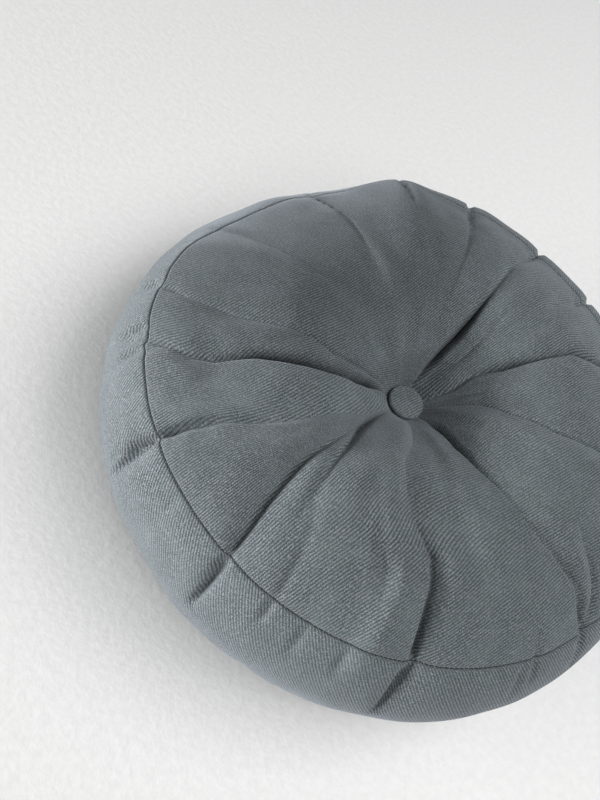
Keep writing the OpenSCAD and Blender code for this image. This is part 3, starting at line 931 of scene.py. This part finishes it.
def twill_material(name, wale_angle):
    """Brushed twill: diagonal wales, the yarns across them, a short nap, slightly uneven dye and painted
    shade.
    Coordinates are mm on the flat pattern."""
    material, tree, shader = new_material(name)
    weave = add_node(tree, "ShaderNodeAttribute", {"attribute_name": "weave"}).outputs["Vector"]
    # Painted shade, read from the mesh's fold attribute.
    fold = add_node(tree, "ShaderNodeAttribute", {"attribute_name": "fold"}).outputs["Fac"]
    rotation = (0, 0, math.radians(90 - wale_angle))
    turned = add_node(tree, "ShaderNodeMapping", None, Vector=weave, Rotation=rotation).outputs[0]
    wale = bands(tree, turned, "X", WALE, 0.75, 2.0, 0.9)
    yarn = bands(tree, turned, "DIAGONAL", YARN, 1.5, 1.0, 1.5)
    fuzz = noise_at(tree, weave, 1.15, 2.0, 0.7)
    speck = noise_at(tree, weave, 0.5, 2.0, 0.6)
    patch = noise_at(tree, weave, 0.05, 3.0, 0.6)
    tone = noise_at(tree, weave, 0.012, 2.0, 0.5)
    heather = noise_at(tree, weave, 0.22, 3.0, 0.65)
    colour = colour_mix(tree, ranged(tree, fuzz, 0.38, 0.64), TWILL_DARK, TWILL_LIGHT)
    # Each layer: where it comes from, that value's range, how much there is of it at either end, its colour.
    for value, low, high, to_low, to_high, over in (
            (wale, 0.12, 0.70, 0.92, 0.0, WALE_GAP),
            (patch, 0.42, 0.75, 0.0, 0.16, WORN_NAP),
            (speck, 0.54, 0.72, 0.0, 0.40, SPECK),
            (heather, 0.30, 0.52, 0.30, 0.0, GREEN_FIBRE),
            (heather, 0.50, 0.70, 0.0, 0.30, BLUE_FIBRE),
            (tone, 0.35, 0.65, 0.0, 0.20, UNEVEN_DYE),
            # Painted shade: the last layer paints the cloth nearly black where the fold attribute is high.
            (fold, 0.05, 0.9, 0.0, 0.93, PAINTED_SHADE_COLOUR)):
        colour = colour_mix(tree, ranged(tree, value, low, high, to_low, to_high), colour, over)
    normal = bumped(tree, wale, 0.28 * MM, 0.5)
    normal = bumped(tree, yarn, 0.10 * MM, 0.3, Normal=normal)
    normal = bumped(tree, fuzz, 0.32 * MM, 0.5, Normal=normal)
    set_inputs(shader, Base_Color=colour, Normal=normal, Roughness=0.92, Specular_IOR_Level=0.22,
               Sheen_Weight=0.22, Sheen_Roughness=0.45, Sheen_Tint=(0.82, 0.90, 1.0, 1))
    return material


def own_place(tree):
    """An object's own coordinates, in metres."""
    return add_node(tree, "ShaderNodeTexCoord").outputs["Object"]


def thread_material(name, dark, light, strand, rough):
    """Twisted thread or cord, with strands of the given size."""
    material, tree, shader = new_material(name)
    place = own_place(tree)
    twist = bands(tree, place, "DIAGONAL", strand, 2.0, 1.0, 1.0)
    fibre = noise_at(tree, place, 1.2 / strand, 3.0, 0.6)
    tint = colour_mix(tree, twist, dark, light)
    tint = colour_mix(tree, ranged(tree, fibre, 0.3, 0.7, 0.0, 0.5), tint, dark)
    normal = bumped(tree, twist, 0.25 * strand, 0.6)
    set_inputs(shader, Base_Color=tint, Normal=normal, Roughness=rough)
    return material


def metal_material():
    """Pressed aluminium sheet and wire, with fine drawing marks."""
    material, tree, shader = new_material("button_metal")
    place = own_place(tree)
    marks = noise_at(tree, place, 900.0, 4.0, 0.6)
    wide = noise_at(tree, place, 90.0, 2.0, 0.5)
    tint = colour_mix(tree, ranged(tree, wide, 0.35, 0.65), (0.62, 0.63, 0.65), (0.78, 0.79, 0.80))
    rough = ranged(tree, marks, 0.3, 0.7, 0.26, 0.42)
    normal = bumped(tree, marks, 0.05 * MM, 0.3)
    set_inputs(shader, Base_Color=tint, Normal=normal, Roughness=rough, Metallic=1.0)
    return material


def fibre_material():
    """Loose white polyester fibre."""
    material, tree, shader = new_material("filling_fibre")
    place = own_place(tree)
    strands = noise_at(tree, place, 700.0, 5.0, 0.7)
    clumps = noise_at(tree, place, 60.0, 3.0, 0.6)
    tint = colour_mix(tree, ranged(tree, clumps, 0.35, 0.65), (0.78, 0.78, 0.76), (0.9, 0.9, 0.88))
    normal = bumped(tree, strands, 1.0 * MM, 0.8)
    set_inputs(shader, Base_Color=tint, Normal=normal, Roughness=0.9, Sheen_Weight=0.3)
    return material


def floor_material():
    """A pale, matt floor."""
    material, tree, shader = new_material("pale_floor")
    grain = noise_at(tree, own_place(tree), 160.0, 4.0, 0.6)
    tint = colour_mix(tree, ranged(tree, grain, 0.3, 0.7), (0.76, 0.755, 0.745), (0.82, 0.815, 0.805))
    normal = bumped(tree, grain, 0.6 * MM, 0.4)
    set_inputs(shader, Base_Color=tint, Normal=normal, Roughness=0.9)
    return material


face_twill = twill_material("twill_face", FACE_WALE)
band_twill = twill_material("twill_band", BAND_WALE)
thread_look = thread_material("sewing_thread", (0.012, 0.015, 0.02), (0.035, 0.042, 0.055), 0.5 * MM, 0.6)
cord_look = thread_material("tufting_cord", (0.50, 0.45, 0.34), (0.72, 0.67, 0.54), 0.9 * MM, 0.5)
metal_look = metal_material()
fibre_look = fibre_material()

for obj in (cover_top, cover_bottom, *buttons):
    obj.data.materials.append(face_twill)
cover_band.data.materials.append(band_twill)
for obj in threads:
    obj.data.materials.append(thread_look)
filling.data.materials.append(fibre_look)
slots = {item["node"]: item["material_slot"] for item in frame["record"]["subparts"]}
looks = {
    "cover_twill": face_twill, "sewing_thread": thread_look, "filling_fibre": fibre_look,
    "tufting_cord": cord_look, "button_metal": metal_look,
}
for node, obj in frame["nodes"].items():
    obj.data.materials.clear()
    obj.data.materials.append(looks[slots[node]])

# ---------------------------------------------------------------- floor, light, camera

FLOOR_SIZE = 6
LIGHT_AT = 2.5             # metres from the middle of the cushion

bpy.ops.mesh.primitive_plane_add(size=FLOOR_SIZE, location=(0, 0, 0))
floor = bpy.context.object
floor.name = "floor"
floor.data.materials.append(floor_material())

world = bpy.data.worlds.new("room")
bpy.context.scene.world = world
world.use_nodes = True
set_inputs(world.node_tree.nodes["Background"], Color=(0.97, 0.985, 1, 1), Strength=0.16)
bpy.context.scene.view_settings.view_transform = "Standard"


def area_light(name, azimuth, elevation, width, height, power, colour):
    """A soft light, turned to the middle of the cushion."""
    data = bpy.data.lights.new(name, "AREA")
    data.shape = "RECTANGLE"
    data.size = width
    data.size_y = height
    data.energy = power
    data.color = colour
    light = bpy.data.objects.new(name, data)
    a, e = math.radians(azimuth), math.radians(elevation)
    way = Vector((math.cos(a) * math.cos(e), math.sin(a) * math.cos(e), math.sin(e)))
    light.location = Vector((0, 0, MIDDLE)) + LIGHT_AT * way
    light.rotation_euler = way.to_track_quat("Z", "Y").to_euler()
    bpy.context.scene.collection.objects.link(light)


area_light("window", 219, 3, 1.8, 0.42, 134, (1.0, 0.99, 0.99))
area_light("room", 30, 58, 1.67, 1.67, 37, (0.985, 0.99, 1.0))
area_light("ceiling", 320, 55, 1.67, 1.67, 29, (0.99, 0.995, 1.0))
area_light("wall_bounce", 75, 4, 1.67, 0.42, 17, (0.97, 0.98, 1.0))

CAMERA_AT = Vector((0, -1.967 * SEAM_R, MIDDLE + 2.513 * SEAM_R))
CAMERA_AIM = Vector((-0.306 * SEAM_R, -0.214 * SEAM_R, MIDDLE))
CAMERA_ROLL = math.radians(34)
camera_data = bpy.data.cameras.new("camera")
camera_data.lens = 36
camera_data.sensor_width = 36
camera = bpy.data.objects.new("camera", camera_data)
look = (CAMERA_AIM - CAMERA_AT).to_track_quat("-Z", "Y").to_matrix().to_4x4()
camera.matrix_world = Matrix.Translation(CAMERA_AT) @ look @ Matrix.Rotation(CAMERA_ROLL, 4, "Z")
bpy.context.scene.collection.objects.link(camera)
bpy.context.scene.camera = camera
